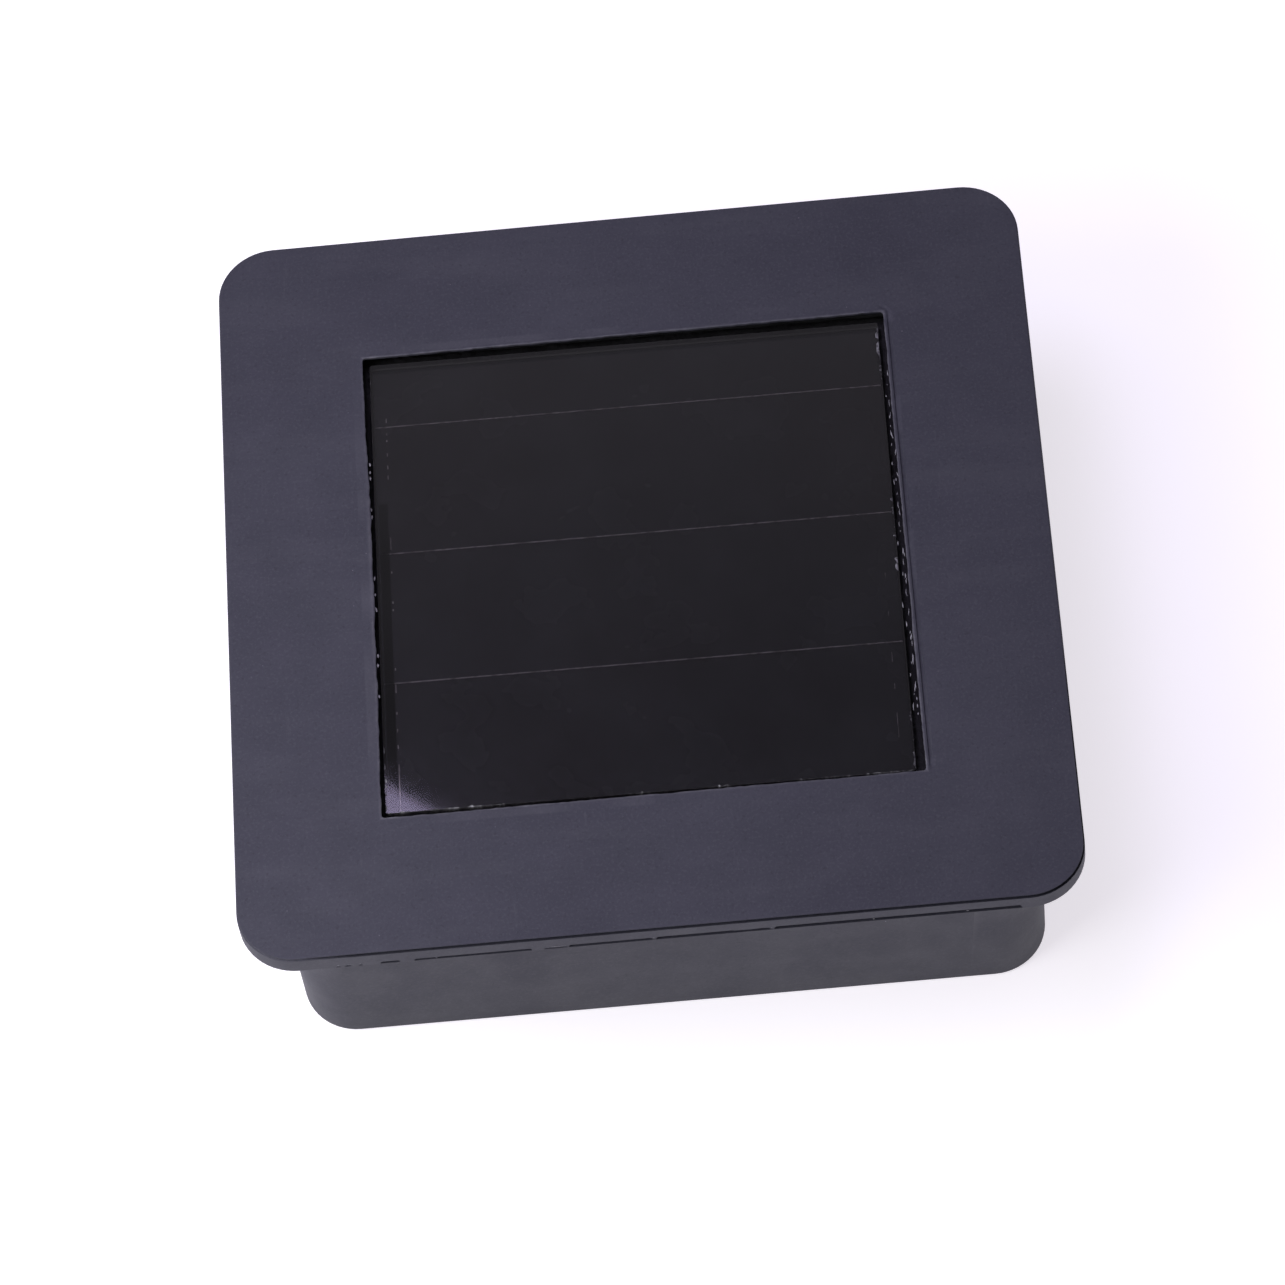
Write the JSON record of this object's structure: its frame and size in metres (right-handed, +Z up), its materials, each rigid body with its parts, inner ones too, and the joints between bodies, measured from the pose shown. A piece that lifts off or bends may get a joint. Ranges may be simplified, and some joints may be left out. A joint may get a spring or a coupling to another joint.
{
  "type": "solar attic fan",
  "caption": "Square roof vent fan: a flanged cover with a thin-film solar pane over a box housing with under-eave exhaust slots, a grilled intake and an axial impeller on a small motor.",
  "frame": {"origin": "centre of the housing's underside, in the plane it rests on", "axes": "+Z up through the fan axis to the solar pane; +X and +Y square to the housing walls, +Y away from the wall that the pane's wide strip lies along"},
  "size_m": [0.15, 0.15, 0.044],
  "materials": {
    "shell_plastic": "fine-grained moulded charcoal ABS with a slight violet tint, matte",
    "black_plastic": "moulded black plastic, satin",
    "white_nylon": "moulded natural nylon, satin",
    "pane_glass": "polished float glass, clear over black thin film",
    "silicon_film": "near-black amorphous silicon film seen through the glass",
    "back_paint": "dark grey protective paint",
    "foam": "black closed-cell foam",
    "sealant": "glossy black silicone sealant",
    "steel": "bright drawn steel",
    "zinc": "zinc-plated steel, satin",
    "copper": "bare and enamelled copper",
    "brass_parts": "tinned brass strip",
    "bronze": "oil-filled sintered bronze",
    "ferrite": "dark grey ferrite",
    "red_pvc": "red PVC insulation",
    "black_pvc": "black PVC insulation"
  },
  "bodies": {
    "housing": {"housing": "shell_plastic", "top_cover": "shell_plastic", "intake_grille": "shell_plastic", "panel_tray": "black_plastic", "tray_gasket": "foam", "panel_tape": "foam", "panel_sealant": "sealant", "solar_glass": "pane_glass", "panel_back_coat": "back_paint", "solder_tab_positive": "copper", "solder_tab_negative": "copper", "motor_bracket": "black_plastic", "motor_can": "steel", "motor_end_cap": "white_nylon", "front_bush": "bronze", "rear_bush": "bronze", "magnet_left": "ferrite", "magnet_right": "ferrite", "brush_positive": "brass_parts", "brush_negative": "brass_parts", "terminal_positive": "brass_parts", "terminal_negative": "brass_parts", "lead_positive": "red_pvc", "lead_negative": "black_pvc", "silicon_strip_1": "silicon_film", "cover_screw_1": "zinc", "tray_screw_1": "zinc", "grille_screw_1": "zinc", "bracket_screw_1": "zinc", "silicon_strip_2": "silicon_film", "cover_screw_2": "zinc", "tray_screw_2": "zinc", "grille_screw_2": "zinc", "bracket_screw_2": "zinc", "silicon_strip_3": "silicon_film", "cover_screw_3": "zinc", "tray_screw_3": "zinc", "grille_screw_3": "zinc", "bracket_screw_3": "zinc", "silicon_strip_4": "silicon_film", "cover_screw_4": "zinc", "tray_screw_4": "zinc", "grille_screw_4": "zinc", "bracket_screw_4": "zinc", "motor_screw_1": "zinc", "motor_screw_2": "zinc"},
    "rotor": {"impeller": "black_plastic", "fan_shaft": "steel", "armature_core": "steel", "armature_coil_1": "copper", "armature_coil_2": "copper", "armature_coil_3": "copper", "commutator": "copper"}
  },
  "joints": [
    {"name": "fan_spin", "type": "hinge", "parent": "housing", "child": "rotor", "pos_m": [0, 0, 0.0115], "axis": [0, 0, 1], "continuous": true}
  ]
}
